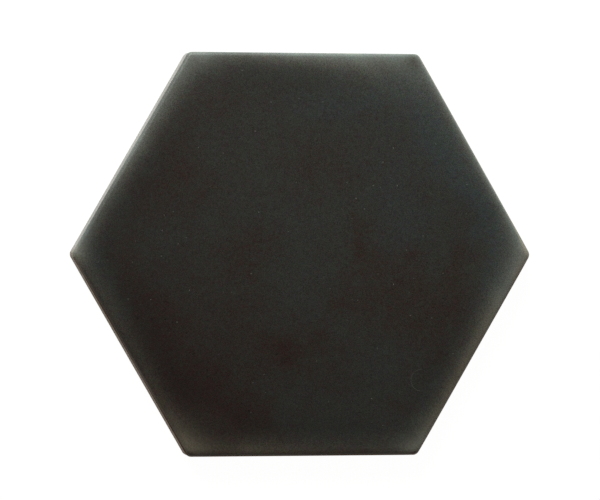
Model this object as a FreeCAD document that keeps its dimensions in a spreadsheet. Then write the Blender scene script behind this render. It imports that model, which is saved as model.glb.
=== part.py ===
"""Hexagon floor tile in glazed stoneware, modelled as the one fired piece that it is.

The tile is a regular hexagon with slightly rounded corners. Its face is flat in the middle and rolls off
towards the sides, as the face of a pressed and glazed tile does, and the arris between face and side is
rounded. The back has a plain band all round and, inside it, a shallow recess with straight ribs across it:
the key that the adhesive grips. The recess and its ribs have draft, so that the tile leaves its die.

Frame: the origin is the middle of the bed face, +Z is up through the tile, two corners of the hexagon lie
on the X axis and two of its sides are parallel to it. Lengths are in millimetres.
"""

import FreeCAD
import Part
import Sketcher
import math
import os

# Name, size, and what it is. A draft is in degrees, a count is a number, and the rest is in millimetres.
SIZES = [
    ("across_flats", 150, "from one side of the tile to the opposite side"),
    ("thickness", 12, "from the bed face to the flat field of the face"),
    ("corner_radius", 2.5, "corners of the outline, seen from above"),
    ("roll_width", 7.5, "border of the face that rolls off, measured at the middle of a side"),
    ("roll_drop", 0.6, "how much lower the face is where that border reaches the side"),
    ("field_radius", 10, "corners of the flat field inside the rolled border"),
    ("arris_radius", 1.5, "rounding between the face and the sides"),
    ("bed_arris_radius", 0.6, "rounding between the sides and the bed face"),
    ("key_margin", 9, "plain band of the bed face between the sides and the key recess"),
    ("key_radius", 4, "corners of the key recess"),
    ("key_depth", 0.8, "depth of the key recess, and so the height of its ribs"),
    ("key_draft", 30, "lean of the recess walls and of the rib flanks, from upright"),
    ("rib_count", 11, "ribs across the key recess, where an odd number puts one on the middle"),
    ("rib_width", 6, "width of a rib at the bed face"),
]

SIDES = 6
HALF_TURN = 180 / SIDES

# What follows from those sizes.
TO_SIDE = "Sizes.across_flats / 2"
ACROSS_CORNERS = f"Sizes.across_flats / cos({HALF_TURN})"
TO_FIELD_EDGE = f"{TO_SIDE} - Sizes.roll_width"
ROLL_RADIUS = "(Sizes.roll_width ^ 2 + Sizes.roll_drop ^ 2) / (2 * Sizes.roll_drop)"
# From a corner of the field to the sharp corner of the hexagon, the furthest that the border reaches.
ROLL_REACH = f"(Sizes.roll_width + Sizes.field_radius) / cos({HALF_TURN}) - Sizes.field_radius"
TO_KEY_EDGE = f"{TO_SIDE} - Sizes.key_margin"
RIB_LEAN = "Sizes.key_depth * tan(Sizes.key_draft)"
# The ribs and the gaps beside them fill the recess evenly.
RIB_PITCH = f"(2 * ({TO_KEY_EDGE}) + Sizes.rib_width) / (Sizes.rib_count + 1)"
TO_FIRST_RIB = f"({RIB_PITCH}) * (Sizes.rib_count - 1) / 2 + Sizes.rib_width / 2"

# The places on a line or an arc that a constraint may hold.
START, END, CENTRE = 1, 2, 3
X_AXIS = -1
ORIGIN = (X_AXIS, START)

CUTTING_FEATURES = ("PartDesign::Pocket", "PartDesign::Fillet")
UPRIGHT = 1e-6
ON_OUTLINE = 1e-3


def make_sheet(doc):
    """The sizes that drive the model, one named cell for each."""
    sheet = doc.addObject("Spreadsheet::Sheet", "Sizes")
    for row, (alias, size, meaning) in enumerate(SIZES, start=1):
        sheet.set(f"A{row}", str(size))
        sheet.setAlias(f"A{row}", alias)
        sheet.set(f"B{row}", meaning)
    doc.recompute()


def new_sketch(body, name, role):
    """An empty sketch on one of the body's origin planes."""
    plane = next(feature for feature in body.Origin.OriginFeatures if feature.Role == role)
    sketch = body.newObject("Sketcher::SketchObject", name)
    sketch.AttachmentSupport = (plane, [""])
    sketch.MapMode = "FlatFace"
    return sketch


def add_size(sketch, name, expression, kind, *geometry):
    """Adds a dimension that follows the sizes."""
    size = sketch.evalExpression(expression)
    index = sketch.addConstraint(Sketcher.Constraint(kind, *geometry, size))
    sketch.renameConstraint(index, name)
    sketch.setExpression(f"Constraints.{name}", expression)


def join(sketch, kind, *pairs):
    """Joins ends of lines and arcs, each given as (geometry, which end), by one kind of constraint."""
    for first, second in pairs:
        sketch.addConstraint(Sketcher.Constraint(kind, *first, *second))


def draw_rounded_hexagon(sketch, to_side, corner):
    """A regular hexagon with two sides parallel to X, from its half width and the radius of its corners.

    Six arcs and six lines meet in tangents. The centres of the arcs lie on one circle about the origin.
    """
    half_width = sketch.evalExpression(to_side)
    radius = sketch.evalExpression(corner)
    half_turn = math.radians(HALF_TURN)
    to_centres = (half_width - radius) / math.cos(half_turn)

    def point_of_corner(number, turn):
        """A point of a corner's arc, turned by an angle from the way that the corner points."""
        direction = 2 * half_turn * number
        centre = FreeCAD.Vector(math.cos(direction), math.sin(direction), 0) * to_centres
        outward = FreeCAD.Vector(math.cos(direction + turn), math.sin(direction + turn), 0)
        return centre + outward * radius

    circle = Part.Circle(FreeCAD.Vector(), FreeCAD.Vector(0, 0, 1), to_centres)
    centres = sketch.addGeometry(circle, True)
    join(sketch, "Coincident", ((centres, CENTRE), ORIGIN))
    arcs = []
    lines = []
    for number in range(SIDES):
        start = point_of_corner(number, -half_turn)
        end = point_of_corner(number, half_turn)
        next_start = point_of_corner(number + 1, -half_turn)
        arcs.append(sketch.addGeometry(Part.Arc(start, point_of_corner(number, 0), end)))
        lines.append(sketch.addGeometry(Part.LineSegment(end, next_start)))
    next_arcs = arcs[1:] + arcs[:1]
    for arc, line, next_arc in zip(arcs, lines, next_arcs):
        join(sketch, "Tangent", ((arc, END), (line, START)), ((line, END), (next_arc, START)))
        sketch.addConstraint(Sketcher.Constraint("PointOnObject", arc, CENTRE, centres))
    for arc, line in zip(arcs[1:], lines[1:]):
        sketch.addConstraint(Sketcher.Constraint("Equal", arcs[0], arc))
        sketch.addConstraint(Sketcher.Constraint("Equal", lines[0], line))
    top_line = lines[1]
    sketch.addConstraint(Sketcher.Constraint("Horizontal", top_line))
    add_size(sketch, "to_side", to_side, "DistanceY", *ORIGIN, top_line, START)
    add_size(sketch, "corner", corner, "Radius", arcs[0])


def draw_roll_section(sketch):
    """Section through the rolled border, from the edge of the flat field outwards.

    Its top is an arc that leaves the field level and is down by roll_drop at the side of the tile. The
    section runs on past the side, as far as the corners of the hexagon need.
    """
    inner = sketch.evalExpression(TO_FIELD_EDGE)
    outer = inner + sketch.evalExpression(ROLL_REACH)
    height = sketch.evalExpression("Sizes.thickness")
    radius = sketch.evalExpression(ROLL_RADIUS)
    centre = FreeCAD.Vector(inner, height - radius, 0)
    rim_angle = math.acos((outer - inner) / radius)
    crest = FreeCAD.Vector(inner, height, 0)
    rim = FreeCAD.Vector(outer, centre.y + radius * math.sin(rim_angle), 0)
    foot = FreeCAD.Vector(inner, 0, 0)
    toe = FreeCAD.Vector(outer, 0, 0)

    circle = Part.Circle(centre, FreeCAD.Vector(0, 0, 1), radius)
    top = sketch.addGeometry(Part.ArcOfCircle(circle, rim_angle, math.pi / 2))
    inner_wall = sketch.addGeometry(Part.LineSegment(crest, foot))
    base = sketch.addGeometry(Part.LineSegment(foot, toe))
    outer_wall = sketch.addGeometry(Part.LineSegment(toe, rim))
    join(
        sketch,
        "Coincident",
        ((top, END), (inner_wall, START)),
        ((inner_wall, END), (base, START)),
        ((base, END), (outer_wall, START)),
        ((outer_wall, END), (top, START)),
    )
    # The walls are upright, the base is on the bed face, and the arc is level at its inner end.
    sketch.addConstraint(Sketcher.Constraint("Vertical", inner_wall))
    sketch.addConstraint(Sketcher.Constraint("Vertical", outer_wall))
    sketch.addConstraint(Sketcher.Constraint("Horizontal", base))
    sketch.addConstraint(Sketcher.Constraint("PointOnObject", base, START, X_AXIS))
    sketch.addConstraint(Sketcher.Constraint("Vertical", top, CENTRE, top, END))
    add_size(sketch, "to_field_edge", TO_FIELD_EDGE, "DistanceX", *ORIGIN, base, START)
    add_size(sketch, "height", "Sizes.thickness", "DistanceY", base, START, top, END)
    add_size(sketch, "roll_radius", ROLL_RADIUS, "Radius", top)
    add_size(sketch, "reach", ROLL_REACH, "DistanceX", base, START, base, END)


def draw_rib_section(sketch):
    """Section through the first rib of the key: rib_width wide at the bed face, and wider at its root."""
    left = -sketch.evalExpression(TO_FIRST_RIB)
    right = left + sketch.evalExpression("Sizes.rib_width")
    height = sketch.evalExpression("Sizes.key_depth")
    lean = sketch.evalExpression(RIB_LEAN)
    corners = [
        FreeCAD.Vector(left, 0, 0),
        FreeCAD.Vector(right, 0, 0),
        FreeCAD.Vector(right + lean, height, 0),
        FreeCAD.Vector(left - lean, height, 0),
    ]
    next_corners = corners[1:] + corners[:1]
    edges = [sketch.addGeometry(Part.LineSegment(*ends)) for ends in zip(corners, next_corners)]
    land, right_flank, root, left_flank = edges
    for edge, next_edge in zip(edges, edges[1:] + edges[:1]):
        join(sketch, "Coincident", ((edge, END), (next_edge, START)))
    sketch.addConstraint(Sketcher.Constraint("PointOnObject", land, START, X_AXIS))
    sketch.addConstraint(Sketcher.Constraint("Horizontal", land))
    sketch.addConstraint(Sketcher.Constraint("Horizontal", root))
    sketch.addConstraint(Sketcher.Constraint("Equal", right_flank, left_flank))
    add_size(sketch, "to_first_rib", TO_FIRST_RIB, "DistanceX", land, START, *ORIGIN)
    add_size(sketch, "land_width", "Sizes.rib_width", "DistanceX", land, START, land, END)
    add_size(sketch, "rib_height", "Sizes.key_depth", "DistanceY", right_flank, START, right_flank, END)
    add_size(sketch, "lean", RIB_LEAN, "DistanceX", right_flank, START, right_flank, END)


def make_field(body):
    """The flat middle of the tile, at its full thickness, and the outline that the border follows."""
    outline = new_sketch(body, "field_outline", "XY_Plane")
    draw_rounded_hexagon(outline, TO_FIELD_EDGE, "Sizes.field_radius")
    field = body.newObject("PartDesign::Pad", "field")
    field.Profile = outline
    field.setExpression("Length", "Sizes.thickness")
    return outline


def sweep_border(body, field_outline):
    """The rolled border: its section carried once round the flat field."""
    section = new_sketch(body, "roll_section", "YZ_Plane")
    draw_roll_section(section)
    border = body.newObject("PartDesign::AdditivePipe", "rolled_border")
    border.Profile = section
    border.Spine = (field_outline, [])


def cut_key(body):
    """The shallow recess in the back, narrower at its floor than at the bed face."""
    outline = new_sketch(body, "key_outline", "XY_Plane")
    draw_rounded_hexagon(outline, TO_KEY_EDGE, "Sizes.key_radius")
    recess = body.newObject("PartDesign::Pocket", "key_recess")
    recess.Profile = outline
    recess.Reversed = True
    recess.setExpression("Length", "Sizes.key_depth")
    recess.setExpression("TaperAngle", "-Sizes.key_draft")


def add_ribs(body):
    """The ribs that cross the recess parallel to X, flush with the bed face.

    Each is long enough for the widest part of the tile, so its ends run into the band round the recess.
    """
    section = new_sketch(body, "rib_section", "YZ_Plane")
    draw_rib_section(section)
    rib = body.newObject("PartDesign::Pad", "first_rib")
    rib.Profile = section
    rib.SideType = "Symmetric"
    rib.setExpression("Length", ACROSS_CORNERS)
    body.Document.recompute()
    ribs = body.newObject("PartDesign::LinearPattern", "ribs")
    ribs.Originals = [rib]
    ribs.Direction = (section, ["H_Axis"])
    ribs.Mode = "Spacing"
    ribs.setExpression("Offset", RIB_PITCH)
    ribs.setExpression("Occurrences", "Sizes.rib_count")
    body.Tip = ribs


def trim_sides(body):
    """The upright sides: everything outside the tile's outline is taken away."""
    outline = new_sketch(body, "outline", "XY_Plane")
    draw_rounded_hexagon(outline, TO_SIDE, "Sizes.corner_radius")
    reach = outline.evalExpression(ACROSS_CORNERS)
    circle = outline.addGeometry(Part.Circle(FreeCAD.Vector(), FreeCAD.Vector(0, 0, 1), reach))
    join(outline, "Coincident", ((circle, CENTRE), ORIGIN))
    add_size(outline, "beyond_corners", ACROSS_CORNERS, "Radius", circle)
    sides = body.newObject("PartDesign::Pocket", "sides")
    sides.Profile = outline
    sides.Type = "ThroughAll"
    sides.Reversed = True
    return sides


def side_edges(feature, half_width, at_face):
    """Names of the edges where the upright sides end, at the face or else at the bed face."""
    shape = feature.Shape
    middle = shape.BoundBox.Center.z
    names = []
    for number, edge in enumerate(shape.Edges, start=1):
        is_above = min(vertex.Z for vertex in edge.Vertexes) > middle
        is_below = max(vertex.Z for vertex in edge.Vertexes) < middle
        beside = shape.ancestorsOfType(edge, Part.Face)
        is_side = [is_side_face(face, half_width) for face in beside]
        if any(is_side) and (is_above if at_face else is_below):
            names.append(f"Edge{number}")
    return names


def is_side_face(face, half_width):
    """Whether a face is one of the tile's upright sides or the rounded corners between them."""
    start, end, low, high = face.ParameterRange
    normal = face.normalAt((start + end) / 2, (low + high) / 2)
    from_axis = math.hypot(face.CenterOfMass.x, face.CenterOfMass.y)
    return abs(normal.z) < UPRIGHT and from_axis > half_width - ON_OUTLINE


def round_arris(body, name, base, radius, at_face):
    """Rounds the edge all round the sides, at the face or else at the bed face."""
    half_width = base.evalExpression(TO_SIDE)
    arris = body.newObject("PartDesign::Fillet", name)
    arris.Base = (base, side_edges(base, half_width, at_face))
    arris.setExpression("Radius", radius)
    return arris


def check(doc, body):
    """Stops the build where an object failed, or a cut took nothing away, or the tile isn't one solid."""
    for item in doc.Objects:
        if "Invalid" in item.State or "Error" in item.State:
            raise RuntimeError(f"{item.Name} failed: {item.State}")
    features = [item for item in body.Group if item.isDerivedFrom("PartDesign::Feature")]
    for before, after in zip(features, features[1:]):
        change = after.Shape.Volume - before.Shape.Volume
        if (change < 0) != (after.TypeId in CUTTING_FEATURES):
            raise RuntimeError(f"{after.Name} changed the volume by {change:.1f} cubic mm")
    shape = body.Shape
    if shape.isNull() or not shape.isValid() or len(shape.Solids) != 1:
        raise RuntimeError(f"{body.Label} is not one valid solid")


def main():
    doc = FreeCAD.newDocument("hexagon_floor_tile")
    make_sheet(doc)
    body = doc.addObject("PartDesign::Body", "hexagon_tile")
    body.Label = "hexagon_tile"
    body.Placement = FreeCAD.Placement()

    field_outline = make_field(body)
    doc.recompute()
    sweep_border(body, field_outline)
    doc.recompute()
    cut_key(body)
    doc.recompute()
    add_ribs(body)
    doc.recompute()
    sides = trim_sides(body)
    doc.recompute()
    face_arris = round_arris(body, "face_arris", sides, "Sizes.arris_radius", True)
    doc.recompute()
    round_arris(body, "bed_arris", face_arris, "Sizes.bed_arris_radius", False)
    doc.recompute()

    check(doc, body)
    os.makedirs("parts", exist_ok=True)
    body.Shape.exportStep(f"parts/{body.Label}.step")
    box = body.Shape.optimalBoundingBox()
    size = f"{box.XLength:.2f} x {box.YLength:.2f} x {box.ZLength:.2f} mm"
    print(f"{body.Label}: {size}, {body.Shape.Volume / 1000:.2f} cubic cm")


main()
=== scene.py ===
"""The hexagon floor tile as it looks: dark satin glaze over pale clay, worked out as one closed skin.

Lengths are in metres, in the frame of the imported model: the bed face is on Z = 0, and two corners of the
hexagon lie on the X axis. The skin is a grid over the face, rings round the sides and a grid over the bed
face, and each of them shares its edge with the next.
"""

import math

import bpy
import numpy as np
from mathutils import Matrix, Vector


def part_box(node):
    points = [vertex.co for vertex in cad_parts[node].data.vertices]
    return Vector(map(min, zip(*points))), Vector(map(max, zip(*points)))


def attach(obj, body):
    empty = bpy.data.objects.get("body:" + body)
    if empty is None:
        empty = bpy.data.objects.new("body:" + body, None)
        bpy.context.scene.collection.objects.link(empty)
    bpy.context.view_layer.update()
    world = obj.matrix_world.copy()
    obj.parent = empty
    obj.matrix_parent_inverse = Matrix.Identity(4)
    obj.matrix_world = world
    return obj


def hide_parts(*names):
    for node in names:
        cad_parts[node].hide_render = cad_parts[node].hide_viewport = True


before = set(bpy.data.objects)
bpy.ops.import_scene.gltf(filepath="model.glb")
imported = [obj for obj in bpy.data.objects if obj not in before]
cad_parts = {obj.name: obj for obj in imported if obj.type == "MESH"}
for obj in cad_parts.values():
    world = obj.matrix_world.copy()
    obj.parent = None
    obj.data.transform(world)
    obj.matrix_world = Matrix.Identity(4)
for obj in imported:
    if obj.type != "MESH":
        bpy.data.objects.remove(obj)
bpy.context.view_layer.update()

MM = 0.001

# The form of the tile, as it is pressed and fired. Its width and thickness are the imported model's.
_, TILE_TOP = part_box("hexagon_tile")
HALF_WIDTH = TILE_TOP.y
THICKNESS = TILE_TOP.z
CORNER_RADIUS = 2.5 * MM
ROLL_WIDTH = 7.5 * MM
ROLL_DROP = 0.6 * MM
ROLL_RADIUS = (ROLL_WIDTH**2 + ROLL_DROP**2) / (2 * ROLL_DROP)
FIELD_RADIUS = 10 * MM
ARRIS_RADIUS = 1.5 * MM
BED_ARRIS = 0.6 * MM
BED_BAND = 9 * MM
KEY_EDGE = HALF_WIDTH - BED_BAND
KEY_RADIUS = 4 * MM
KEY_DEPTH = 0.8 * MM
KEY_DRAFT = 30
KEY_LEAN = KEY_DEPTH * np.tan(np.radians(KEY_DRAFT))
RIB_COUNT = 11
RIB_WIDTH = 6 * MM
RIB_PITCH = (2 * KEY_EDGE + RIB_WIDTH) / (RIB_COUNT + 1)

# The edge of the glaze: how far it runs down the sides, how far its lip wanders and in how many waves round
# the tile, and how thick it lies on the clay. Then how the bare clay under it ripples.
LIP_BELOW_ARRIS = 0.05 * MM
LIP_WANDER = 0.25 * MM
LIP_WAVES = (3, 7, 13, 23, 41, 67)
GLAZE_THICKNESS = 0.12 * MM
CLAY_RIPPLE = 0.02 * MM
RIPPLE_WAVES = (17, 41, 89)

# How far the face dips, the lengths of the waves in it, and how far in from the rim they start and are full.
FACE_SWELL = 0.04 * MM
SWELL_LENGTHS = np.array([46, 31, 23, 17, 12]) * MM
SWELL_START = 2 * MM
SWELL_FULL = 8 * MM

# Sides that face -Y by more than this, as the sine of their angle from X, have lost their glaze on the last
# steps of the arris and on the lip.
WORN_FACING = -0.4
WORN_STEPS = 4

# Patches of the glaze in millimetres on the face: the middle of each, its reach lengthwise and crosswise, how
# it is turned in degrees, and its strength. The first are rusty, the second bluish.
IRON_PATCHES = (
    (-39, -54, 24, 13, -44, 0.95),
    (-34, -65, 14, 7, 0, 0.6),
    (-17, -58, 9, 7, 0, 0.3),
    (-54, -27, 18, 9, -60, 0.4),
    (-66, -7, 16, 7, -70, 0.28),
    (-62, 14, 9, 7, 0, 0.22),
    (-42, -14, 20, 16, 0, 0.2),
    (-20, 5, 16, 6, 0, 0.15),
    (-23, -20, 8, 8, 0, 0.15),
    (-24, -2, 13, 7, 15, 0.2),
    (-18, -34, 17, 9, 0, 0.22),
    (-5, -33, 8, 7, 0, 0.55),
    (-8, -42, 20, 8, 0, 0.15),
    (8, -42, 12, 7, 0, 0.15),
    (14, -21, 8, 6, 0, 0.25),
    (38, -18, 26, 14, -15, 0.3),
    (36, -4, 10, 5, 0, 0.15),
    (58, -4, 10, 6, 80, 0.28),
    (50, -32, 12, 9, -50, 0.15),
    (22, 4, 6, 4, 80, 0.35),
    (-48, 34, 19, 10, 80, 0.3),
    (-57, 28, 8, 6, 60, 0.15),
    (-39, 19, 10, 6, 60, 0.2),
    (-30, 58, 14, 7, 5, 0.2),
    (5, 34, 18, 9, 0, 0.17),
    (25, 0, 12, 6, 0, 0.15),
    (36, -56, 5, 4, 0, 0.25),
    (50, 22, 6, 5, 0, 0.1),
)
SLATE_PATCHES = (
    (44, 60, 14, 7, -60, 0.65),
    (56, 37, 16, 8, -62, 1.5),
    (68, 18, 14, 7, -62, 1.1),
    (76, -2, 13, 6, 80, 2.4),
    (30, 60, 14, 6, 0, 0.25),
    (14, 57, 22, 9, 0, 0.55),
    (-15, 50, 16, 8, 0, 0.15),
    (33, 33, 22, 18, 0, 0.35),
    (0, -12, 17, 12, 80, 0.4),
    (30, -42, 12, 10, 0, 0.45),
    (15, -60, 25, 8, 0, 0.3),
    (-50, 7, 7, 6, 0, 0.35),
    (-78, 1, 9, 6, 80, 0.35),
    (38, 12, 14, 13, 0, 0.5),
    (0, 12, 14, 10, 0, 0.3),
    (-18, 26, 20, 14, 0, 0.1),
)

# The waves that shift the plane the patches are drawn on, so that their outlines are uneven, and by how many
# millimetres they do.
WARP_LENGTHS = np.array([11, 17, 25, 37]) * MM
WARP_SHIFT = 6

# How thin the glaze is along each side, anticlockwise from the one that faces 30 degrees. At five stations
# from its start to its end: the strength at the edge, and the reach inwards in millimetres. Then what the
# arris adds, partly thin glaze and partly a painted highlight on the arris where it is above zero, how brown
# it has burnt there, and how bluish and how dark it is in bands further in.
THIN_SIDES = (
    ((0.9, 0.15, 0.15, 0.1, 0.15), (2.0, 3.0, 6.0, 6.5, 5.0), 1.15, 0.1, 0.3, 0.05),
    ((0.6, 0.6, 0.6, 0.25, 0.5), (6.5, 4.5, 2.5, 2.5, 4.0), 0.35, 0.0, 0.25, 0.05),
    ((0.4, 0.55, 0.8, 0.45, 0.9), (4.0, 3.0, 2.0, 2.0, 2.0), -0.2, 0.0, 0.2, 0.1),
    ((0.35, 0.25, 0.2, 0.4, 0.75), (5.5, 3.5, 3.0, 2.5, 3.0), -0.3, 0.5, 0.35, 0.2),
    ((0.0, 0.5, 0.3, 0.2, 0.4), (3.5, 3.5, 4.5, 5.0, 6.0), -0.3, 1.0, 0.2, 0.22),
    ((1.0, 0.85, 0.75, 0.85, 0.85), (3.5, 2.0, 2.5, 3.5, 4.5), -0.3, 0.45, 0.5, 0.13),
)
STATIONS = (-1.0, -0.5, 0.0, 0.5, 1.0)

# In millimetres: how far in the arris's pale glaze and painted highlight and the burn reach, and the depth
# and reach of the two bands.
ARRIS_PALE_AND_HIGHLIGHT_REACH = 0.9
BURN_REACH = 1.8
BAND_DEPTH = 8.0
BAND_REACH = 3.0
POOL_DEPTH = 10.0
POOL_REACH = 5.0

# How thin the glaze is at the corners, on top of the sides: the number of the corner, anticlockwise from the
# one on +X, the strength, and the reach in millimetres.
THIN_CORNERS = (
    (0, -0.45, 4),
    (0, 0.1, 11),
    (1, -0.5, 5),
    (2, -0.35, 4),
    (2, 0.05, 12),
    (3, 0.25, 4),
    (4, 0.35, 12),
    (4, -0.25, 4),
    (5, -0.15, 5),
)

# By what share waves of those lengths make the thinness and the burn uneven.
THIN_UNEVEN = 0.15
THIN_LENGTHS = np.array([29, 19, 13, 9]) * MM

# How light the glaze is in the middle, the painted light that it gains towards +Y and towards +X, which
# stands for the soft box's light and sheen, and what it loses towards the rim where it is thick. Thin glaze
# has only a share of the painted light, and thick glaze has the rest too. Glaze counts as thin from that
# thinness on.
TONE_MIDDLE = 1.01
PAINTED_LIGHT_UP = 0.2
PAINTED_LIGHT_RIGHT = 0.15
TONE_RIM = 0.1
PAINTED_LIGHT_ON_THIN = 0.8
PAINTED_LIGHT_ON_THICK = 0.2
THIN_FROM = 0.5

# Where thin glaze is beige and not grey: how little of it is left out, how fast it grows from the middle
# towards -Y, and how much the two tips on X add, from where to where in millimetres.
BEIGE_START = 0.15
BEIGE_GROWTH = 1.8
TIP_BEIGE = 0.5
TIP_SPAN = (75, 84)

# The lower right corner stays greyer: its place, its reach and the share of beige that it loses.
GREY_CORNER = (43, -75)
GREY_REACH = 25
GREY_SHARE = 0.7

# The toasted line at the edge of the glaze, in millimetres: the X over which it comes in from the left, the Y
# over which it goes out towards the top, and the depths below the foot of the arris over which it comes in
# and goes out. The straw colour is its upper part, and lies at the very rim.
TOAST_LEFT = (-46, -40)
TOAST_TOP = (74, 70)
TOAST_START = (-1.1, -0.6)
TOAST_END = (1.0, 0.2)
STRAW_END = (0.2, 0.0)
STRAW_REACH = 0.35 * MM

# The heights above the bed face over which the land of the ribs and the band comes in, in millimetres.
LAND_SPAN = (0.2, 0.0)

# Colours of the glaze and of the clay as they look on screen, 0 to 255. The surface goes from the first of a
# pair to the second and back.
WHITE = (255, 255, 255)
SLATE_GROUND = ((38.7, 38.8, 34.9), (38.7, 37.3, 33.9))
BLUISH_SLATE = (39.1, 44.7, 44.7)
IRON_BROWN = ((35.1, 29.7, 24.2), (39.1, 27.2, 22.2))
IRON_RUST = ((31.5, 20, 16), (37.5, 17, 14))
DARK_PIT = (5, 6, 4)
THIN_GLAZE = ((129, 130, 120), (133, 126, 109))
FROSTED_GLAZE = (121, 129, 124)
THINNEST_GLAZE = (141, 141, 127)
BURNT_GLAZE = (42, 29, 14)
TOASTED_GLAZE = (154, 145, 126)
STRAW_GLAZE = (142, 128, 84)
PALE_MARK = (98, 99, 93)
FIRED_CLAY = ((155, 153, 150), (163, 161, 158))
RECESS_CLAY = (118, 113, 104)
LAND_WASH = (182, 180, 174)
LIP_CLAY = (150, 122, 94)
WARM_CLAY = (136, 124, 114)
DARK_BROWN_SIDE_CLAY = (54, 45, 37)
TOASTED_CLAY = (146, 122, 102)
STRAW_CLAY = (156, 132, 106)
IRON_SPECK = (86, 60, 42)
CLAY_PIT = (84, 80, 74)

# How wide the lumps of each pattern are, and how high the fine relief stands.
GLAZE_CLOUD = 9 * MM
GLAZE_CRUMB = 1.15 * MM
GLAZE_GRAIN = 0.26 * MM
GLAZE_MOTLEY = 2.4 * MM
GLAZE_CRYSTAL = 0.2 * MM
GLAZE_RELIEF = 0.02 * MM
CLAY_CLOUD = 14 * MM
CLAY_WASH = 8 * MM
CLAY_PATCH = 6 * MM
CLAY_GRAIN = 0.5 * MM
CLAY_RELIEF = 0.05 * MM

# The shine of the glaze and of the clay.
GLAZE_ROUGHNESS = 0.4
GLAZE_SPECULAR = 0.38
CLAY_ROUGHNESS = 0.85
CLAY_SPECULAR = 0.0

# The values of a noise, and of the crumb for the rust, over which the first of a pair becomes the second.
CLOUD_SPAN = (0.35, 0.65)
CRUMB_SPAN = (0.4, 0.65)

# How much the noise adds to a patch or takes from it, and the strengths of a patch at which its colour begins
# and is full.
SLATE_NOISE = 0.9
IRON_NOISE = 0.5
SLATE_SPAN = (0.0, 1.1)
BROWN_SPAN = (-0.1, 0.5)
RUST_SPAN = (0.3, 1.0)
PIT_SPAN = (0.2, 0.6)

# The thinness at which the frosted and the thinnest glaze begin and are full, the beige at which the frost is
# gone, and how strongly the toasted and the straw-coloured line show on the glaze.
FROST_SPAN = (0.1, 0.6)
FROST_BEIGE = 0.5
THINNEST_SPAN = (0.8, 1.1)
TOAST_ON_GLAZE = 0.35
STRAW_ON_GLAZE = 0.2

# The motley multiplies the colour by its red, green and blue noise, times the gain and plus the base. Then
# how much of it there is on thick glaze, and the thinness at which there is all of it; and how much of it
# there is on light glaze, and the green of dark and of light glaze.
MOTLEY_GAIN = (1.2, 1.4, 1.35)
MOTLEY_BASE = (0.405, 0.305, 0.33)
MOTLEY_ON_THICK = 0.74
MOTLEY_THIN = 0.1
MOTLEY_ON_LIGHT = 0.3
MOTLEY_LIGHT = (0.028, 0.07)

# Each crystal is lighter or darker than the glaze about it, by up to a share of the glaze's light, lifted and
# to a power. On glaze of that thinness it is so by that many times more.
CRYSTAL_SHARE = 0.085
CRYSTAL_LIFT = (0.008, 0.008, 0.008)
CRYSTAL_POWER = 0.58
CRYSTAL_ON_THIN = 1.4
CRYSTAL_THIN = 0.12

# How strongly each coat lies on the clay, which a noise varies between two strengths for the wash and the
# toast. PIT_DEPTH is how far the pits are sunk, where the grain of the clay is 1.
RECESS_STRENGTH = 0.4
WASH_STRENGTH = (0.1, 0.6)
LIP_STRENGTH = 0.1
BURN_STRENGTH = 1.7
TOAST_ON_CLAY = (0.15, 0.45)
STRAW_ON_CLAY = 0.4
SPECK_STRENGTH = 0.7
PIT_STRENGTH = 0.6
PIT_DEPTH = 2.0

# The depths below the foot of the arris over which the lip's clay and the dark brown clay fade, in
# millimetres.
LIP_SPAN = (0.2, 2.2)
DARK_BROWN_SPAN = (-0.5, 1.8)

# Spots: the width and height of a cell in millimetres, how the cells are turned in degrees, the radius of a
# spot as a share of its cell, and the share of cells that hold one.
PINHOLES = (3.6, 3.6, 0, 0.026, 0.12)
SCRATCHES = (8, 2.8, 25, 0.05, 0.06)
CROSS_SCRATCHES = (3, 9, 20, 0.045, 0.05)
GLAZE_PITS = (2.6, 2.6, 0, 0.2, 0.15)
IRON_SPECKS = (2.4, 2.4, 0, 0.16, 0.35)
CLAY_PITS = (1.4, 1.4, 0, 0.16, 0.4)
FAINTEST_SPOT = 0.2

# A curled hairline scratch in the glaze: the left half of a circle. It is full up to the core's distance
# from the circle and gone at the rim's, and it ends over the fade each side of the middle.
HAIRLINE_MIDDLE = (44.7 * MM, -46.9 * MM, THICKNESS)
HAIRLINE_RADIUS = 4.1 * MM
HAIRLINE_CORE = 0.05 * MM
HAIRLINE_RIM = 0.15 * MM
HAIRLINE_FADE = 1 * MM
HAIRLINE_STRENGTH = 0.3

# How finely the skin is divided.
ROW_SPACING = 1.0 * MM
CORNER_STEPS = 5
BAND_COLUMNS = 8
INNER_COLUMNS = 110
ARRIS_STEPS = 7
SIDE_STEPS = 8
BED_ARRIS_STEPS = 4

# Half of what the outline turns at a corner, which is also how the first side faces.
HALF_CORNER = np.radians(30)

# The floor: how far it reaches, how far below the tile it lies, its grey as a light on the tile, and what the
# lens sees of it, a glow and a little grey that takes the shadow.
FLOOR_REACH = 6.0
FLOOR_GAP = 0.02 * MM
FLOOR_GREY = 0.8
FLOOR_GLOW = 0.97
FLOOR_SHADOWED = 0.07

# The light from all round: its colour, its strength up to a height of the sky where 1 is overhead, and its
# strength overhead.
SKY_COLOUR = (1.0, 0.94, 0.86, 1.0)
SKY_STRENGTH = 0.75
SKY_BEND = 0.3
SKY_OVERHEAD = 0.05

# The soft box, above and behind the tile.
BOX_DIRECTION = (-0.307, 0.76, 0.574)
BOX_DISTANCE = 0.75
BOX_SIZE = 0.5
BOX_POWER = 6.7
BOX_COLOUR = (0.95, 1.0, 0.98)

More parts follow.
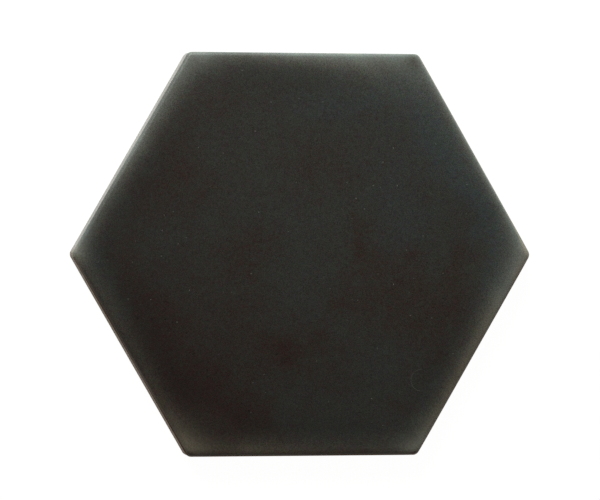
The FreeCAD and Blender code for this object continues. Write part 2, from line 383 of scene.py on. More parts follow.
# Where the camera stands, from a fit of the outline in the photograph: how far it leans from upright towards
# -X and +Y, how it is rolled, how far off it is, and how far it aims beside the middle of the face.
LEAN_LEFT = math.radians(9.6)
LEAN_UP = math.radians(0.76)
ROLL = math.radians(0.17)
CAMERA_DISTANCE = 1.3
AIM_HEIGHT = 10.05 * MM
AIM_RIGHT = -1.23 * MM
AIM_UP = 1.68 * MM
LENS = 209.6
SENSOR = 36.0


def smooth_step(low, high, value):
    """0 up to low, 1 from high on, and the S-curve 3t^2 - 2t^3 between. With high below low it falls."""
    t = np.clip((value - low) / (high - low), 0, 1)
    return t * t * (3 - 2 * t)


def beyond_hexagon(x, y, half_width, radius):
    """How far points lie outside a rounded hexagon, and below zero inside it.

    Each point is turned into the sector of its nearest side. The distance is the one to a sharp hexagon that
    is smaller by the radius, less the radius.
    """
    sector = np.mod(np.arctan2(y, x), 2 * HALF_CORNER) - HALF_CORNER
    reach = np.hypot(x, y)
    out = reach * np.cos(sector) - (half_width - radius)
    along = np.abs(reach * np.sin(sector)) - (half_width - radius) * np.tan(HALF_CORNER)
    corner = np.hypot(out, np.maximum(along, 0))
    return np.where(out > 0, corner, out) - radius


def half_width_at(y, half_width, radius):
    """Half the width along X of a rounded hexagon at a height y on it.

    It is an arc about the corner on X, then the straight side, then an arc about the next corner.
    """
    high = np.abs(y)
    to_corner = (half_width - radius) / np.cos(HALF_CORNER)
    near_corner = to_corner + np.sqrt(np.maximum(radius**2 - high**2, 0))
    side = (half_width - high / 2) / np.cos(HALF_CORNER)
    above = np.maximum(high - (half_width - radius), 0)
    far_corner = to_corner / 2 + np.sqrt(np.maximum(radius**2 - above**2, 0))
    beside = np.where(high < half_width - radius / 2, side, far_corner)
    return np.where(high < radius / 2, near_corner, beside)


def divided(marks, spacing):
    """The marks in order, with even steps between those that lie further apart than the spacing.

    They are rounded to a nanometre first, so that equal ones become one.
    """
    marks = np.unique(np.round(marks, 9))
    counts = np.ceil(np.diff(marks) / spacing).astype(int)
    gaps = zip(marks[:-1], marks[1:], counts)
    return np.append(np.concatenate([np.linspace(a, b, n, endpoint=False) for a, b, n in gaps]), marks[-1])


def rows_of_bed():
    """Rows of the bed face from the lowest side to the highest: Y, half the width, and how the edge faces.

    A row lies on every crease of the key, and the corners have rows of their own. The right-hand edge turns
    through the corner on X, faces 30 degrees along the side, and turns on to 90 degrees at the next corner.
    """
    half_width = HALF_WIDTH - BED_ARRIS
    radius = CORNER_RADIUS - BED_ARRIS
    first_turn = np.linspace(0, HALF_CORNER, CORNER_STEPS + 1)
    last_turn = np.linspace(HALF_CORNER, np.pi / 2, 2 * CORNER_STEPS + 1)
    ribs = RIB_PITCH * np.arange((RIB_COUNT + 1) // 2)
    half_ribs = (-RIB_WIDTH / 2 - KEY_LEAN, -RIB_WIDTH / 2, RIB_WIDTH / 2, RIB_WIDTH / 2 + KEY_LEAN)
    key_corner = KEY_EDGE - KEY_RADIUS + KEY_RADIUS * np.sin(last_turn)
    marks = np.concatenate([*(ribs + half for half in half_ribs), key_corner, [KEY_EDGE - KEY_LEAN]])
    low, high = radius / 2, half_width - radius / 2
    marks = marks[(marks > low) & (marks < high)]
    side = divided(np.concatenate([[low], marks, [high]]), ROW_SPACING)[1:-1]
    last_corner = half_width - radius + radius * np.sin(last_turn)
    upper = np.concatenate([radius * np.sin(first_turn), side, last_corner])
    facing = np.concatenate([first_turn, np.full(len(side), HALF_CORNER), last_turn])
    y = np.concatenate([-upper[:0:-1], upper])
    return y, half_width_at(y, half_width, radius), np.concatenate([-facing[:0:-1], facing])


def columns_of_bed(y, half_width):
    """X of every point of the bed face, row by row: a plain band, the wall of the key, then its floor."""
    top_of_wall = half_width_at(np.clip(y, -KEY_EDGE, KEY_EDGE), KEY_EDGE, KEY_RADIUS)
    floor_edge = KEY_EDGE - KEY_LEAN
    foot_of_wall = half_width_at(np.clip(y, -floor_edge, floor_edge), floor_edge, KEY_RADIUS - KEY_LEAN)
    foot_of_wall -= np.clip(np.abs(y) - floor_edge, 0, KEY_LEAN)
    band = np.linspace(0, 1, BAND_COLUMNS + 1)
    right_band = top_of_wall[:, None] + band * (half_width - top_of_wall)[:, None]
    inner = np.linspace(-1, 1, INNER_COLUMNS + 1) * foot_of_wall[:, None]
    return np.hstack([-right_band[:, ::-1], inner, right_band])


def bed_height(x, y):
    """Height of the bed face: zero on the band and the ribs, and KEY_DEPTH on the floor of the recess.

    It rises with the distance from the nearest edge of the recess or of a rib's land, over KEY_LEAN.
    """
    from_edge = -beyond_hexagon(x, y, KEY_EDGE, KEY_RADIUS)
    from_middle = np.abs(np.mod(y + RIB_PITCH / 2, RIB_PITCH) - RIB_PITCH / 2)
    return KEY_DEPTH * np.clip(np.minimum(from_edge, from_middle - RIB_WIDTH / 2) / KEY_LEAN, 0, 1)


def face_height(x, y):
    """Height of the glazed face: flat, then falling along an arc outside the field."""
    beyond = np.maximum(beyond_hexagon(x, y, HALF_WIDTH - ROLL_WIDTH, FIELD_RADIUS), 0)
    return THICKNESS - ROLL_RADIUS + np.sqrt(ROLL_RADIUS**2 - beyond**2)


def swell(x, y, lengths, seed):
    """A smooth relief between -1 and 1: the mean of plane waves of those lengths, in seeded directions."""
    draw = np.random.default_rng(seed)
    directions, phases = draw.uniform(0, 2 * np.pi, (2, len(lengths)))
    waves = [
        np.sin(2 * np.pi * (x * np.cos(direction) + y * np.sin(direction)) / length + phase)
        for length, direction, phase in zip(lengths, directions, phases)
    ]
    return np.mean(waves, axis=0)


def wander(angle, counts, seed):
    """A smooth curve round the tile between -1 and 1: the mean of sines with those whole counts of waves."""
    phases = np.random.default_rng(seed).uniform(0, 2 * np.pi, len(counts))
    return np.mean([np.sin(count * angle + phase) for count, phase in zip(counts, phases)], axis=0)


def patchiness(x, y, patches, seed):
    """How strong the patches are at a place: the sum of a bell for each, on a plane that waves shift."""
    warped_x = x / MM + WARP_SHIFT * swell(x, y, WARP_LENGTHS, seed)
    warped_y = y / MM + WARP_SHIFT * swell(x, y, WARP_LENGTHS, seed + 1)
    total = np.zeros_like(x)
    for middle_x, middle_y, length, width, turn, strength in patches:
        cosine, sine = np.cos(np.radians(turn)), np.sin(np.radians(turn))
        right, up = warped_x - middle_x, warped_y - middle_y
        along = (right * cosine + up * sine) / length
        across = (up * cosine - right * sine) / width
        total += strength * np.exp(-(along**2) - across**2)
    return total


def thinness(x, y):
    """How thin the glaze has run, how brown it is burnt, and how bluish and dark it is along the sides.

    The thinness falls off exponentially from each side, with a strength and a reach that change along it, and
    as a bell from each corner. Its narrow term at the arris is partly a painted highlight. The burn is a bell
    at each side, and the two bands are bells some way in.
    """
    total, burnt, band, pool = (np.zeros_like(x) for _ in range(4))
    for number, (strengths, reaches, arris, burn, blue, dark) in enumerate(THIN_SIDES):
        angle = (2 * number + 1) * HALF_CORNER
        depth = np.maximum(HALF_WIDTH - x * np.cos(angle) - y * np.sin(angle), 0) / MM
        along = (y * np.cos(angle) - x * np.sin(angle)) / (HALF_WIDTH * np.tan(HALF_CORNER))
        strength, reach = np.interp(along, STATIONS, strengths), np.interp(along, STATIONS, reaches)
        # The arris term is partly thin glaze and partly a painted highlight on the arris.
        total += strength * np.exp(-depth / reach) + arris * np.exp(-depth / ARRIS_PALE_AND_HIGHLIGHT_REACH)
        burnt += burn * np.exp(-((depth / BURN_REACH) ** 2))
        band += blue * np.exp(-(((depth - BAND_DEPTH) / BAND_REACH) ** 2))
        pool += dark * np.exp(-(((depth - POOL_DEPTH) / POOL_REACH) ** 2))
    to_corner = HALF_WIDTH / np.cos(HALF_CORNER)
    for number, strength, reach in THIN_CORNERS:
        angle = 2 * number * HALF_CORNER
        away = np.hypot(x - to_corner * np.cos(angle), y - to_corner * np.sin(angle)) / MM
        total += strength * np.exp(-((away / reach) ** 2))
    uneven = 1 + THIN_UNEVEN * swell(x, y, THIN_LENGTHS, seed=23)
    return total * uneven, burnt * uneven, band, pool


def tone_and_painted_light(x, y, thin):
    """How light the glaze is, about 1.

    It rises in a straight line towards +X and +Y, which is painted light: lighter towards the soft box and
    where its sheen lies. It falls with the square of the distance from the middle where the glaze lies thick.
    """
    thick = 1 - np.clip(thin / THIN_FROM, 0, 1)
    # Painted light: the glaze is lighter towards +Y and +X, towards the soft box and where its sheen lies.
    gain = (PAINTED_LIGHT_UP * y + PAINTED_LIGHT_RIGHT * x) / HALF_WIDTH * (PAINTED_LIGHT_ON_THIN + PAINTED_LIGHT_ON_THICK * thick)
    edge = (x**2 + y**2) / HALF_WIDTH**2 * thick
    return TONE_MIDDLE + gain - TONE_RIM * edge


def beigeness(x, y):
    """How beige thin glaze is: a straight rise towards -Y and more at the tips, less a bell at one corner."""
    near_tip = TIP_BEIGE * smooth_step(*TIP_SPAN, np.abs(x) / MM)
    corner_x, corner_y = GREY_CORNER
    near_corner = np.exp(-((x / MM - corner_x) ** 2 + (y / MM - corner_y) ** 2) / GREY_REACH**2)
    beige = np.clip(near_tip - BEIGE_START - BEIGE_GROWTH * y / HALF_WIDTH, 0, 1)
    return beige * (1 - GREY_SHARE * near_corner)


def finish_of_skin(x, y, z):
    """What the two materials read at each point of the skin, by name.

    Below is the depth under the foot of the arris in millimetres. The toast is the product of four steps,
    along X, along Y and twice down the side. The straw is such a product too, and falls off exponentially
    inwards from the rim. Recess is the height of the bed face as a share of the key's depth, and land is 1
    where the bed face touches the ground.
    """
    thin, burnt, band, pool = thinness(x, y)
    below = (THICKNESS - ARRIS_RADIUS - ROLL_DROP - z) / MM
    toast = smooth_step(*TOAST_LEFT, x / MM) * smooth_step(*TOAST_TOP, y / MM)
    from_rim = np.minimum(beyond_hexagon(x, y, HALF_WIDTH, CORNER_RADIUS), 0)
    return {
        "iron": patchiness(x, y, IRON_PATCHES, seed=31),
        "slate": patchiness(x, y, SLATE_PATCHES, seed=41) + band,
        # The thinness includes a painted highlight on the arris.
        "thin": thin,
        "burnt": burnt,
        # The tone carries painted light, lighter towards +Y and +X.
        "tone_and_painted_light": tone_and_painted_light(x, y, thin) * (1 - pool),
        "beige": beigeness(x, y),
        "below": below,
        "toast": toast * smooth_step(*TOAST_START, below) * smooth_step(*TOAST_END, below),
        "straw": toast * np.exp(from_rim / STRAW_REACH) * smooth_step(*STRAW_END, below),
        "recess": bed_height(x, y) / KEY_DEPTH,
        "land": smooth_step(*LAND_SPAN, z / MM),
    }


def edge_of(grid):
    """The values round the edge of a grid, anticlockwise from its lower right corner."""
    return np.concatenate([grid[:-1, -1], grid[-1, :0:-1], grid[:0:-1, 0], grid[0, :-1]])


def edge_facing(facing, columns):
    """How the side of the tile faces at each point round the edge of the grid, as an angle from X."""
    top_side = np.full(columns - 1, np.pi / 2)
    return np.concatenate([facing[:-1], top_side, (np.pi - facing)[:0:-1], -top_side])


def faces_of(index):
    """The four-sided faces of a grid of point numbers, facing up."""
    return np.stack([index[:-1, :-1], index[:-1, 1:], index[1:, 1:], index[1:, :-1]], -1).reshape(-1, 4)


def faces_between(upper, lower):
    """The four-sided faces between two closed rings of point numbers, facing out."""
    return np.stack([upper, lower, np.roll(lower, -1), np.roll(upper, -1)], 1)


def grid_of_face(shares, y, half_width, facing):
    """Points of the glazed face: the bed's grid, taken to the inner edge of the arris, at the face's height.

    The swell is a relief between -1 and 0, so the face never stands above the flat one, and it fades out
    towards the rim.
    """
    inset = BED_ARRIS - ARRIS_RADIUS
    face_x = shares * (half_width + inset * np.cos(facing))[:, None]
    face_y = np.broadcast_to((y + inset * np.sin(facing))[:, None], face_x.shape)
    from_rim = -beyond_hexagon(face_x, face_y, HALF_WIDTH, CORNER_RADIUS)
    relief = (swell(face_x, face_y, SWELL_LENGTHS, seed=3) - 1) / 2
    fade = smooth_step(SWELL_START, SWELL_FULL, from_rim)
    return np.stack([face_x, face_y, face_height(face_x, face_y) + FACE_SWELL * relief * fade], -1)


def arris_rings(outline, normal):
    """The rounding from the rolled border down to the upright side, as (inset, height) for each ring.

    It is the arc of a ball that touches both. The border slopes by tilt where the ball touches it, so the arc
    starts at 90 degrees less the tilt and turns to level.
    """
    inner = outline - ARRIS_RADIUS * normal
    outer = outline - ARRIS_RADIUS / 2 * normal
    fall = face_height(*inner.T) - face_height(*outer.T)
    tilt = np.arctan(fall / (ARRIS_RADIUS / 2))
    touch = outline - (ARRIS_RADIUS * (1 - np.sin(tilt)))[:, None] * normal
    centre = face_height(*touch.T) - ARRIS_RADIUS * np.cos(tilt)
    turns = [(np.pi / 2 - tilt) * share for share in np.linspace(1, 0, ARRIS_STEPS + 1)]
    return [(ARRIS_RADIUS * (1 - np.cos(turn)), centre + ARRIS_RADIUS * np.sin(turn)) for turn in turns]


def lip_rings(around, arris_foot):
    """The glaze below the arris, as (inset, height): a ring at the full outline, then the wandering lip.

    The lip is the lowest foot of the arris, a little lower still, plus sines round the tile.
    """
    lowest = arris_foot.min() - LIP_BELOW_ARRIS
    lip = lowest + LIP_WANDER * wander(around, LIP_WAVES, seed=5)
    return [(np.zeros(len(lip)), (arris_foot + lip) / 2), (np.full(len(lip), GLAZE_THICKNESS / 4), lip)]


def side_rings(around, lip):
    """The clay side under the glaze, as (inset, height) for each ring.

    It starts set back by the glaze's thickness and comes out to the full outline in a straight line, and each
    ring ripples by sines round the tile.
    """
    rings = []
    for number, share in enumerate(np.linspace(0, 1, SIDE_STEPS + 1)[:-1]):
        ripple = CLAY_RIPPLE * (1 + wander(around, RIPPLE_WAVES, number))
        height = lip - GLAZE_THICKNESS + share * (BED_ARRIS - lip + GLAZE_THICKNESS)
        rings.append((GLAZE_THICKNESS * (1 - share) + ripple, height))
    return rings


def bed_arris_rings(count):
    """The rounding from the side to the bed face, as (inset, height) for each ring: a quarter circle."""
    turns = np.linspace(0, np.pi / 2, BED_ARRIS_STEPS + 1)[:-1]
    return [
        (np.full(count, BED_ARRIS * (1 - np.cos(turn))), np.full(count, BED_ARRIS * (1 - np.sin(turn))))
        for turn in turns
    ]


def skin_of_tile():
    """Points, faces and, for each face, whether it is bare clay.

    The edge of the bed's grid, moved out by the bed arris along the sides' normals, is the outline of the
    tile. Each ring is that outline moved in by the ring's inset, at the ring's height. Strips of faces join
    the edge of the face's grid, the rings in turn, and the edge of the bed's grid.
    """
    y, half_width, facing = rows_of_bed()
    bed_x = columns_of_bed(y, half_width)
    bed_y = np.broadcast_to(y[:, None], bed_x.shape)
    shares = bed_x[-1] / bed_x[-1, -1]
    angle = edge_facing(facing, len(shares))
    normal = np.stack([np.cos(angle), np.sin(angle)], 1)
    outline = np.stack([edge_of(bed_x), edge_of(bed_y)], 1) + BED_ARRIS * normal

    around = np.arctan2(outline[:, 1], outline[:, 0])
    glaze_rings = arris_rings(outline, normal)
    kept_strips = len(glaze_rings) - WORN_STEPS
    glaze_rings += lip_rings(around, glaze_rings[-1][1])
    lip = glaze_rings[-1][1]
    clay_rings = side_rings(around, lip) + bed_arris_rings(len(lip))
    rings = [np.column_stack([outline - inset[:, None] * normal, z]) for inset, z in glaze_rings + clay_rings]
    face = grid_of_face(shares, y, half_width, facing).reshape(-1, 3)
    bed = np.stack([bed_x, bed_y, bed_height(bed_x, bed_y)], -1).reshape(-1, 3)
    points = np.concatenate([face, *rings, bed])

    face_index = np.arange(len(face)).reshape(bed_x.shape)
    ring_index = len(face) + np.arange(len(rings) * len(outline)).reshape(len(rings), len(outline))
    bed_index = len(points) - len(bed) + face_index
    loops = [edge_of(face_index), *ring_index, edge_of(bed_index)]
    strips = [faces_between(upper, lower) for upper, lower in zip(loops[:-1], loops[1:])]
    edge_strips = np.concatenate(strips[kept_strips : len(glaze_rings)])
    worn = (np.sin(angle) < WORN_FACING) & (np.roll(np.sin(angle), -1) < WORN_FACING)
    bare = np.tile(worn, len(glaze_rings) - kept_strips)
    glaze = np.concatenate([faces_of(face_index), *strips[:kept_strips], edge_strips[~bare]])
    clay = np.concatenate([edge_strips[bare], *strips[len(glaze_rings) :], faces_of(bed_index)[:, ::-1]])
    return points, np.concatenate([glaze, clay]), np.repeat([0, 1], [len(glaze), len(clay)])


def linear(red, green, blue):
    """A colour from its values on screen, 0 to 255, as the light it stands for."""
    share = np.array([red, green, blue]) / 255
    light = np.where(share <= 0.04045, share / 12.92, ((share + 0.055) / 1.055) ** 2.4)
    return (*(float(part) for part in light), 1.0)


def grey(level):
    """A neutral colour as light, white at 1."""
    return (level, level, level, 1.0)


def new_node(tree, kind, inputs=(), **settings):
    """A node with its settings, and with values or other nodes' outputs put into its inputs."""
    made = tree.nodes.new(kind)
    for name, value in settings.items():
        setattr(made, name, value)
    for name, value in dict(inputs).items():
        if isinstance(value, bpy.types.NodeSocket):
            tree.links.new(value, made.inputs[name])
        else:
            made.inputs[name].default_value = value
    return made


def calculate(tree, operation, *values, clamp=False):
    """The output of one step of arithmetic on numbers."""
    made = new_node(tree, "ShaderNodeMath", enumerate(values), operation=operation, use_clamp=clamp)
    return made.outputs[0]


def product(tree, first, second):
    """One number times another."""
    return calculate(tree, "MULTIPLY", first, second)


def calculate_parts(tree, operation, *values):
    """The output of one step of arithmetic on the three parts of colours or places."""
    return new_node(tree, "ShaderNodeVectorMath", enumerate(values), operation=operation).outputs[0]


def scale_parts(tree, colour, factor):
    """The three parts of a colour times a number."""
    return new_node(tree, "ShaderNodeVectorMath", {0: colour, "Scale": factor}, operation="SCALE").outputs[0]


def parts_of(tree, colour):
    """The red, green and blue of a colour."""
    return new_node(tree, "ShaderNodeSeparateColor", {0: colour}).outputs


def blend(tree, share, first, second):
    """A colour between two, the second where the share is 1. Each is an output or a colour on screen."""
    first, second = (linear(*colour) if isinstance(colour, tuple) else colour for colour in (first, second))
    made = new_node(tree, "ShaderNodeMix", {0: share, 6: first, 7: second}, data_type="RGBA")
    return made.outputs[2]


def coated(tree, colour, coats):
    """A colour with coats laid over it in turn, each as (where it lies, how strongly, its colour)."""
    for cover, strength, coat in coats:
        colour = blend(tree, product(tree, cover, strength), colour, coat)
    return colour


def rescale(tree, value, low, high, to_low=0.0, to_high=1.0, kind="SMOOTHSTEP"):
    """A value taken from one range to another, and kept inside it."""
    inputs = {"Value": value, "From Min": low, "From Max": high, "To Min": to_low, "To Max": to_high}
    return new_node(tree, "ShaderNodeMapRange", inputs, interpolation_type=kind).outputs["Result"]


def noise(tree, place, cell, detail=2.0, roughness=0.5, output="Fac"):
    """Cloudy noise between 0 and 1, whose lumps are about as wide as the cell."""
    inputs = {"Vector": place, "Scale": 1 / cell, "Detail": detail, "Roughness": roughness}
    return new_node(tree, "ShaderNodeTexNoise", inputs).outputs[output]


def new_material(name, roughness, specular):
    """A material with one plain shader, and the place of each point as its coordinates."""
    material = bpy.data.materials.new(name)
    material.use_nodes = True
    tree = material.node_tree
    shader = tree.nodes["Principled BSDF"]
    shader.inputs["Roughness"].default_value = roughness
    shader.inputs["Specular IOR Level"].default_value = specular
    place = new_node(tree, "ShaderNodeTexCoord").outputs["Object"]
    return material, tree, shader, place


def attribute(tree, name):
    """A value that the mesh carries at its points."""
    return new_node(tree, "ShaderNodeAttribute", attribute_name=name).outputs["Fac"]


def finish_shader(tree, shader, colour, height, relief):
    """Gives a shader its colour, and a relief that is as high as said where the height is 1."""
    bump = new_node(tree, "ShaderNodeBump", {"Height": height, "Distance": relief, "Strength": 1.0})
    tree.links.new(bump.outputs[0], shader.inputs["Normal"])
    tree.links.new(colour, shader.inputs["Base Color"])


def scattered(tree, place, spots, kind="2D"):
    """Up to 1 in spots about the middle of cells, in the share of the cells that a random number picks."""
    width, height, turn, radius, share = spots
    scale = (1 / (width * MM), 1 / (height * MM), 1 / (height * MM))
    inputs = {"Vector": place, "Rotation": (0, 0, math.radians(turn)), "Scale": scale}
    cells = {"Vector": new_node(tree, "ShaderNodeMapping", inputs).outputs[0], "Scale": 1.0}
    cells = new_node(tree, "ShaderNodeTexVoronoi", cells, voronoi_dimensions=kind).outputs
    draws = parts_of(tree, cells["Color"])
    near = rescale(tree, cells["Distance"], radius / 2, radius, 1.0, 0.0)
    spot = product(tree, near, calculate(tree, "LESS_THAN", draws[0], share))
    return product(tree, spot, rescale(tree, draws[1], 0.0, 1.0, FAINTEST_SPOT, 1.0))


def hairline(tree, place):
    """Up to HAIRLINE_STRENGTH on the left half of a thin circle about a point of the face."""
    inputs = {0: place, 1: HAIRLINE_MIDDLE}
    away = new_node(tree, "ShaderNodeVectorMath", inputs, operation="DISTANCE").outputs["Value"]
    off = calculate(tree, "ABSOLUTE", calculate(tree, "SUBTRACT", away, HAIRLINE_RADIUS))
    across = new_node(tree, "ShaderNodeSeparateXYZ", {0: place}).outputs[0]
    middle = HAIRLINE_MIDDLE[0]
    left = rescale(tree, across, middle - HAIRLINE_FADE, middle + HAIRLINE_FADE, HAIRLINE_STRENGTH, 0.0)
    return product(tree, left, rescale(tree, off, HAIRLINE_CORE, HAIRLINE_RIM, 1.0, 0.0))


def pale_marks(tree, place):
    """The strongest of the sparse pale pinholes, the short scratches both ways and the curled hairline."""
    found = hairline(tree, place)
    for spots in (PINHOLES, SCRATCHES, CROSS_SCRATCHES):
        found = calculate(tree, "MAXIMUM", found, scattered(tree, place, spots))
    return found


def thick_glaze(tree, place, crumb):
    """A clouded ground with bluish, brown and rusty patches, and dark pits in the rust.

    Each patch's strength comes from the mesh, with noise added about its mean, so that its rim is broken up.
    """
    cloud = noise(tree, place, GLAZE_CLOUD, detail=4, roughness=0.6)
    ground = blend(tree, rescale(tree, cloud, *CLOUD_SPAN), *SLATE_GROUND)
    slate = calculate(tree, "MULTIPLY_ADD", cloud, SLATE_NOISE, -SLATE_NOISE / 2)
    slate = calculate(tree, "ADD", attribute(tree, "slate"), slate)
    iron = calculate(tree, "ADD", product(tree, crumb, IRON_NOISE), product(tree, cloud, IRON_NOISE))
    iron = calculate(tree, "ADD", attribute(tree, "iron"), calculate(tree, "SUBTRACT", iron, IRON_NOISE))
    brown = blend(tree, rescale(tree, crumb, *CLOUD_SPAN), *IRON_BROWN)
    rust = blend(tree, rescale(tree, crumb, *CRUMB_SPAN), *IRON_RUST)
    coats = (
        (rescale(tree, slate, *SLATE_SPAN), 1.0, BLUISH_SLATE),
        (rescale(tree, iron, *BROWN_SPAN), 1.0, brown),
        (rescale(tree, iron, *RUST_SPAN), 1.0, rust),
        (scattered(tree, place, GLAZE_PITS), rescale(tree, iron, *PIT_SPAN), DARK_PIT),
    )
    return coated(tree, ground, coats)


def with_rims(tree, ground, thin):
    """The ground with thin, frosted, burnt, toasted and straw-coloured glaze over it where the mesh says. The
    thinness also carries a painted highlight on the arris.
    """
    beige = attribute(tree, "beige")
    burnt = attribute(tree, "burnt")
    frost_ends = rescale(tree, beige, 0.0, FROST_BEIGE, 1.0, 0.0)
    pale_coats = (
        (rescale(tree, thin, *FROST_SPAN), frost_ends, FROSTED_GLAZE),
        (rescale(tree, thin, *THINNEST_SPAN), 1.0, THINNEST_GLAZE),
    )
    pale = coated(tree, blend(tree, beige, *THIN_GLAZE), pale_coats)
    coats = (
        # The thinness is partly a painted highlight on the arris.
        (thin, 1.0, pale),
        (burnt, 1.0, BURNT_GLAZE),
        (attribute(tree, "toast"), TOAST_ON_GLAZE, TOASTED_GLAZE),
        (attribute(tree, "straw"), rescale(tree, burnt, 0.0, 1.0, STRAW_ON_GLAZE, 0.0), STRAW_GLAZE),
    )
    return coated(tree, ground, coats)


def with_motley(tree, place, colour, thin):
    """The colour times a noise of three colours, less of it on thick and on light glaze."""
    motley = noise(tree, place, GLAZE_MOTLEY, detail=3, roughness=1.0, output="Color")
    tint = calculate_parts(tree, "MULTIPLY_ADD", motley, MOTLEY_GAIN, MOTLEY_BASE)
    on_thick = rescale(tree, thin, 0.0, MOTLEY_THIN, MOTLEY_ON_THICK, 1.0)
    on_light = rescale(tree, parts_of(tree, colour)[1], *MOTLEY_LIGHT, 1.0, MOTLEY_ON_LIGHT)
    tint = blend(tree, product(tree, on_thick, on_light), WHITE, tint)
    return calculate_parts(tree, "MULTIPLY", colour, tint)


def with_crystals(tree, place, colour, thin):
    """The colour plus or minus a share of its own power, drawn for each crystal, and more on thin glaze."""
    lifted = calculate_parts(tree, "ADD", colour, CRYSTAL_LIFT)
    depth = new_node(tree, "ShaderNodeGamma", {0: lifted, 1: CRYSTAL_POWER}).outputs[0]
    cells = {"Vector": place, "Scale": 1 / GLAZE_CRYSTAL}
    draw = parts_of(tree, new_node(tree, "ShaderNodeTexVoronoi", cells).outputs["Color"])[0]
    speckle = rescale(tree, draw, 0.0, 1.0, -CRYSTAL_SHARE, CRYSTAL_SHARE, kind="LINEAR")
    speckle = product(tree, speckle, rescale(tree, thin, 0.0, CRYSTAL_THIN, 1.0, CRYSTAL_ON_THIN))
    return calculate_parts(tree, "ADD", colour, scale_parts(tree, depth, speckle))


def glaze_material():
    """Slate-grey satin glaze with rusty and bluish patches, pale and grainy where it runs thin, with a
    painted highlight on the arris and painted light towards +Y and +X.
    """
    material, tree, shader, place = new_material("satin_glaze", GLAZE_ROUGHNESS, GLAZE_SPECULAR)
    crumb = noise(tree, place, GLAZE_CRUMB, detail=1, roughness=0.6)
    grain = noise(tree, place, GLAZE_GRAIN, detail=0)
    thin = attribute(tree, "thin")
    colour = with_rims(tree, thick_glaze(tree, place, crumb), thin)
    colour = blend(tree, pale_marks(tree, place), colour, PALE_MARK)
    colour = with_motley(tree, place, colour, thin)
    colour = with_crystals(tree, place, colour, thin)
    # The tone carries painted light, lighter towards +Y and +X.
    colour = scale_parts(tree, colour, attribute(tree, "tone_and_painted_light"))
    colour = calculate_parts(tree, "MAXIMUM", colour, (0.0, 0.0, 0.0))
    finish_shader(tree, shader, colour, calculate(tree, "ADD", crumb, grain), GLAZE_RELIEF)
    return material


def clay_material():
    """Pale fired clay: darker in the recess, dusty on the ribs, toasted under the glaze, and dark brown just
    under it on the sides that face -Y.

    Iron specks and pits lie over all of it, and the pits are sunk into its fine relief.
    """
    material, tree, shader, place = new_material("stoneware_clay", CLAY_ROUGHNESS, CLAY_SPECULAR)
    cloud = noise(tree, place, CLAY_CLOUD, detail=4, roughness=0.6)
    wash = noise(tree, place, CLAY_WASH, detail=6, roughness=0.7)
    patch = noise(tree, place, CLAY_PATCH, detail=3)
    specks = scattered(tree, place, IRON_SPECKS, kind="3D")
    pits = scattered(tree, place, CLAY_PITS, kind="3D")
    below = attribute(tree, "below")
    burnt = attribute(tree, "burnt")
    coats = (
        (attribute(tree, "recess"), RECESS_STRENGTH, RECESS_CLAY),
        (attribute(tree, "land"), rescale(tree, wash, *CLOUD_SPAN, *WASH_STRENGTH), LAND_WASH),
        (rescale(tree, below, *LIP_SPAN, LIP_STRENGTH, 0.0), 1.0, LIP_CLAY),
        (burnt, BURN_STRENGTH, WARM_CLAY),
        # Dark brown clay just under the glaze, on the sides that face -Y.
        (burnt, rescale(tree, below, *DARK_BROWN_SPAN, BURN_STRENGTH, 0.0), DARK_BROWN_SIDE_CLAY),
        (attribute(tree, "toast"), rescale(tree, patch, *CLOUD_SPAN, *TOAST_ON_CLAY), TOASTED_CLAY),
        (attribute(tree, "straw"), STRAW_ON_CLAY, STRAW_CLAY),
        (specks, SPECK_STRENGTH, IRON_SPECK),
        (pits, PIT_STRENGTH, CLAY_PIT),
    )
    body = coated(tree, blend(tree, rescale(tree, cloud, *CLOUD_SPAN), *FIRED_CLAY), coats)
    grain = noise(tree, place, CLAY_GRAIN)
    height = calculate(tree, "SUBTRACT", grain, product(tree, pits, PIT_DEPTH))
    finish_shader(tree, shader, body, height, CLAY_RELIEF)
    return material


def make_tile():
    """The skin as one smooth mesh with its two materials and the values that they read at its points."""
    points, faces, is_clay = skin_of_tile()
    mesh = bpy.data.meshes.new("tile_skin")
    mesh.from_pydata(points, [], faces)
    for name, value in finish_of_skin(*points.T).items():
        mesh.attributes.new(name, "FLOAT", "POINT").data.foreach_set("value", value.astype(np.float32))
    mesh.polygons.foreach_set("use_smooth", np.ones(len(faces), bool))
    mesh.polygons.foreach_set("material_index", is_clay)
    mesh.materials.append(glaze_material())
    mesh.materials.append(clay_material())
    mesh.update()
    tile = bpy.data.objects.new("tile_skin", mesh)
    bpy.context.scene.collection.objects.link(tile)
    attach(tile, "root")
    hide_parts("hexagon_tile")


def seen_directly(tree):
    """1 for the rays that show a backdrop as it is: the lens's, reflections' and transmission's."""
    path = new_node(tree, "ShaderNodeLightPath").outputs
    seen = calculate(tree, "ADD", path["Is Camera Ray"], path["Is Glossy Ray"], clamp=True)
    return calculate(tree, "ADD", seen, path["Is Transmission Ray"], clamp=True)


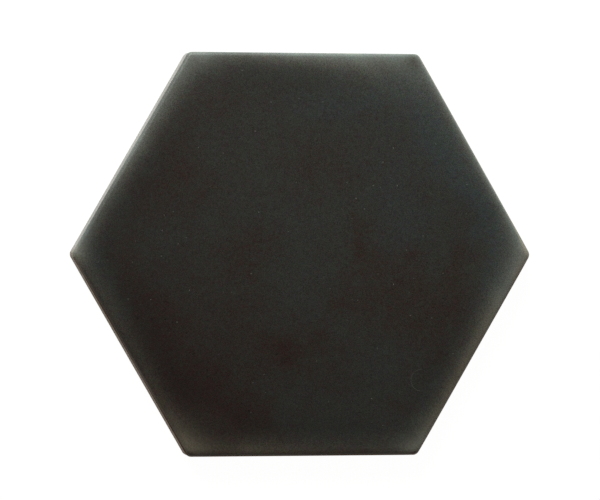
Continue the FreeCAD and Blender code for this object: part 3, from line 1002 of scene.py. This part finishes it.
def make_floor():
    """A plain white floor. What the lens and reflections see of it is lifted to white, less the shadow."""
    mesh = bpy.data.meshes.new("floor")
    signs = ((-1, -1), (1, -1), (1, 1), (-1, 1))
    mesh.from_pydata([(FLOOR_REACH * right, FLOOR_REACH * up, 0) for right, up in signs], [], [(0, 1, 2, 3)])
    material = bpy.data.materials.new("white_floor")
    material.use_nodes = True
    tree = material.node_tree
    tree.nodes.clear()
    matt = new_node(tree, "ShaderNodeBsdfDiffuse", {"Color": grey(FLOOR_GREY)}).outputs[0]
    faint = new_node(tree, "ShaderNodeBsdfDiffuse", {"Color": grey(FLOOR_SHADOWED)}).outputs[0]
    glow = new_node(tree, "ShaderNodeEmission", {"Strength": FLOOR_GLOW}).outputs[0]
    lifted = new_node(tree, "ShaderNodeAddShader", {0: faint, 1: glow}).outputs[0]
    shown = new_node(tree, "ShaderNodeMixShader", {0: seen_directly(tree), 1: matt, 2: lifted}).outputs[0]
    new_node(tree, "ShaderNodeOutputMaterial", {"Surface": shown})
    mesh.materials.append(material)
    floor = bpy.data.objects.new("floor", mesh)
    floor.location.z = -FLOOR_GAP
    bpy.context.scene.collection.objects.link(floor)


def make_world():
    """Soft light from all round, dim overhead so that the flat face mirrors little of it.

    The light is even up to SKY_BEND and falls in a straight line from there to overhead. The lens sees a
    white backdrop everywhere, and reflections see one that falls in a straight line from the horizon.
    """
    world = bpy.data.worlds.new("studio")
    world.use_nodes = True
    tree = world.node_tree
    tree.nodes.clear()
    direction = new_node(tree, "ShaderNodeTexCoord").outputs["Generated"]
    height = new_node(tree, "ShaderNodeSeparateXYZ", {"Vector": direction}).outputs["Z"]
    strength = rescale(tree, height, SKY_BEND, 1.0, SKY_STRENGTH, SKY_OVERHEAD, kind="LINEAR")
    light = new_node(tree, "ShaderNodeBackground", {"Color": SKY_COLOUR, "Strength": strength}).outputs[0]
    reflected = rescale(tree, height, 0.0, 1.0, 1.0, SKY_OVERHEAD, kind="LINEAR")
    camera_ray = new_node(tree, "ShaderNodeLightPath").outputs["Is Camera Ray"]
    level = calculate(tree, "MAXIMUM", reflected, camera_ray)
    backdrop = new_node(tree, "ShaderNodeBackground", {"Color": grey(1.0), "Strength": level}).outputs[0]
    shown = new_node(tree, "ShaderNodeMixShader", {0: seen_directly(tree), 1: light, 2: backdrop}).outputs[0]
    new_node(tree, "ShaderNodeOutputWorld", {"Surface": shown})
    bpy.context.scene.world = world


def make_soft_box():
    """A square soft box that faces the middle of the tile."""
    light = bpy.data.lights.new("soft_box", "AREA")
    light.shape = "SQUARE"
    light.size = BOX_SIZE
    light.energy = BOX_POWER
    light.color = BOX_COLOUR
    lamp = bpy.data.objects.new("soft_box", light)
    away = Vector(BOX_DIRECTION).normalized()
    lamp.location = away * BOX_DISTANCE
    lamp.rotation_euler = away.to_track_quat("Z", "Y").to_euler()
    bpy.context.scene.collection.objects.link(lamp)


def make_camera():
    """The camera looks down at the face, as leaned and rolled as in the photograph."""
    away = Vector((-math.sin(LEAN_LEFT), math.sin(LEAN_UP), 0))
    away.z = math.sqrt(1 - away.length_squared)
    right = Vector((0, 1, 0)).cross(away).normalized()
    up = away.cross(right)
    target = Vector((0, 0, AIM_HEIGHT))
    place = target + CAMERA_DISTANCE * away
    rolled_right = math.cos(ROLL) * right + math.sin(ROLL) * up
    rolled_up = math.cos(ROLL) * up - math.sin(ROLL) * right
    aim = target + AIM_RIGHT * rolled_right + AIM_UP * rolled_up
    back = (place - aim).normalized()
    side = rolled_up.cross(back).normalized()
    turn = Matrix((side, back.cross(side), back)).transposed().to_4x4()
    data = bpy.data.cameras.new("camera")
    data.lens = LENS
    data.sensor_width = SENSOR
    camera = bpy.data.objects.new("camera", data)
    camera.matrix_world = Matrix.Translation(place) @ turn
    bpy.context.scene.collection.objects.link(camera)
    bpy.context.scene.camera = camera


def main():
    """Makes the tile and its studio."""
    make_tile()
    make_floor()
    make_world()
    make_soft_box()
    make_camera()
    bpy.context.scene.view_settings.view_transform = "Standard"


main()
